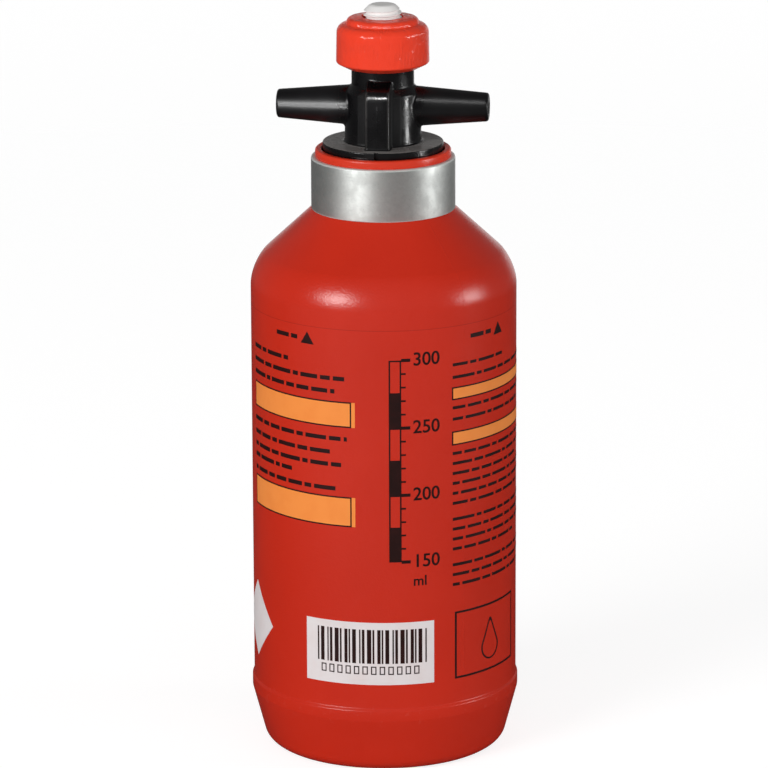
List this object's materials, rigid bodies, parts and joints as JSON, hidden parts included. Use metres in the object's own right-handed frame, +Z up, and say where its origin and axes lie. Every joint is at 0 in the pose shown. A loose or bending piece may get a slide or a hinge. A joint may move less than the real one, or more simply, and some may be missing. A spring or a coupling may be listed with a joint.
{
  "type": "camping fuel bottle",
  "caption": "Round plastic fuel bottle with a tapered base, a metal neck ring and a screw-in press-to-pour valve whose side spouts are shut by a sprung stem and locked by a thumb screw.",
  "frame": {"origin": "middle of the base, on the table", "axes": "+Z up the bottle's axis, spouts along X, front towards -Y"},
  "size_m": [0.0658, 0.0658, 0.1852],
  "materials": {
    "bottle_plastic": "satin moulded polyethylene",
    "collar_metal": "plain satin",
    "valve_plastic": "glossy moulded black",
    "thumb_plastic": "glossy moulded",
    "stem_plastic": "plain white nylon",
    "cage_plastic": "plain moulded",
    "seal_rubber": "matt",
    "spring_steel": "drawn wire"
  },
  "bodies": {
    "bottle": {"bottle_body": "bottle_plastic", "neck_collar": "collar_metal"},
    "neck_seal": {"neck_gasket": "seal_rubber"},
    "valve": {"valve_body": "valve_plastic", "spring_cage": "cage_plastic", "return_spring": "spring_steel"},
    "stem": {"valve_stem": "stem_plastic", "stem_o_ring": "seal_rubber", "poppet_seal": "seal_rubber"},
    "thumb_pad": {"thumb_washer": "stem_plastic"},
    "thumb": {"thumb_screw": "thumb_plastic"}
  },
  "joints": [
    {"name": "valve_lift", "type": "slide", "parent": "bottle", "child": "neck_seal", "axis": [0, 0, 1], "range_m": [0, 0.0241]},
    {"name": "valve_unscrew", "type": "hinge", "parent": "neck_seal", "child": "valve", "pos_m": [0, 0, 0.15], "axis": [0, 0, 1], "range_deg": [0, 2160]},
    {"name": "stem_press", "type": "slide", "parent": "valve", "child": "stem", "axis": [0, 0, 1], "range_m": [-0.002, 0], "stiffness_N_per_m": 1200, "springref_m": 0.005, "deforming": ["return_spring"]},
    {"name": "thumb_rise", "type": "slide", "parent": "stem", "child": "thumb_pad", "axis": [0, 0, 1], "range_m": [0, 0.0038]},
    {"name": "thumb_turn", "type": "hinge", "parent": "thumb_pad", "child": "thumb", "pos_m": [0, 0, 0.178], "axis": [0, 0, 1], "range_deg": [0, 1080]}
  ],
  "couplings": [
    {"joint": "valve_lift", "follows": "valve_unscrew", "m_per_rad": 0.00063662},
    {"joint": "thumb_rise", "follows": "thumb_turn", "m_per_rad": 0.00019894}
  ]
}
